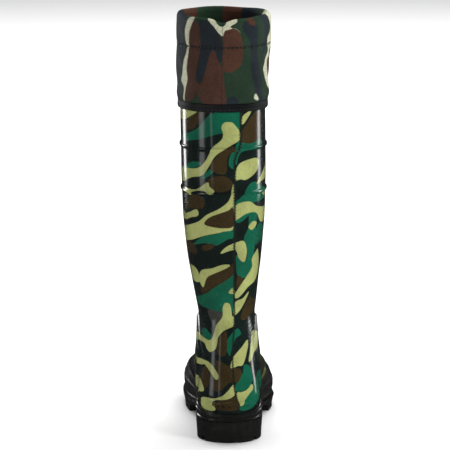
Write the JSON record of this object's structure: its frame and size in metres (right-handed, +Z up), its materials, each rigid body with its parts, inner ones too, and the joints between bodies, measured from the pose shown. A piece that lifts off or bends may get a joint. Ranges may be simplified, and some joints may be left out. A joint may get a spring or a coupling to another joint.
{
  "type": "wading boot",
  "caption": "Tall camouflage PVC wading boot with a black lugged sole, two leg ribs and a fabric upper folded down as a cuff, knit sock lining and removable insole",
  "frame": {"origin": "on the floor under the middle of the boot's bounding box", "axes": "+Z up the leg, +Y from the heel to the toe, +X to the wearer's right"},
  "size_m": [0.1218, 0.3062, 0.5115],
  "materials": {
    "black_pvc": "satin moulded PVC",
    "camo_pvc": "clear glossy PVC over a camouflage print",
    "camo_knit": "printed jersey knit",
    "camo_nylon": "matt coated woven nylon",
    "black_tape": "woven tape",
    "dark_thread": "sewing thread",
    "insole_board": "pressed cellulose board",
    "insole_felt": "needled felt"
  },
  "bodies": {
    "boot": {"outsole": "black_pvc", "sole_wall": "black_pvc", "leg_and_foot_shell": "camo_pvc", "knit_sock_lining": "camo_knit", "sock_back_seam": "camo_knit", "insole_board": "insole_board", "upper_sleeve": "camo_nylon", "sleeve_joint_tape": "black_tape", "sleeve_seam_tape": "black_tape", "upper_flap": "camo_nylon", "flap_seam_tape": "black_tape", "tuck_stitching": "dark_thread"},
    "hem": {"hem_binding": "black_tape", "hem_stitching": "dark_thread"},
    "insole": {"removable_insole": "insole_felt"}
  },
  "joints": [
    {"name": "cuff_raise", "type": "slide", "parent": "boot", "child": "hem", "axis": [0, 0, 1], "range_m": [0, 0.218], "deforming": ["upper_flap", "flap_seam_tape", "tuck_stitching"]},
    {"name": "insole_lift", "type": "hinge", "parent": "boot", "child": "insole", "pos_m": [0, 0.1415, 0.0285], "axis": [-1, 0, 0], "range_deg": [0, 6]}
  ]
}
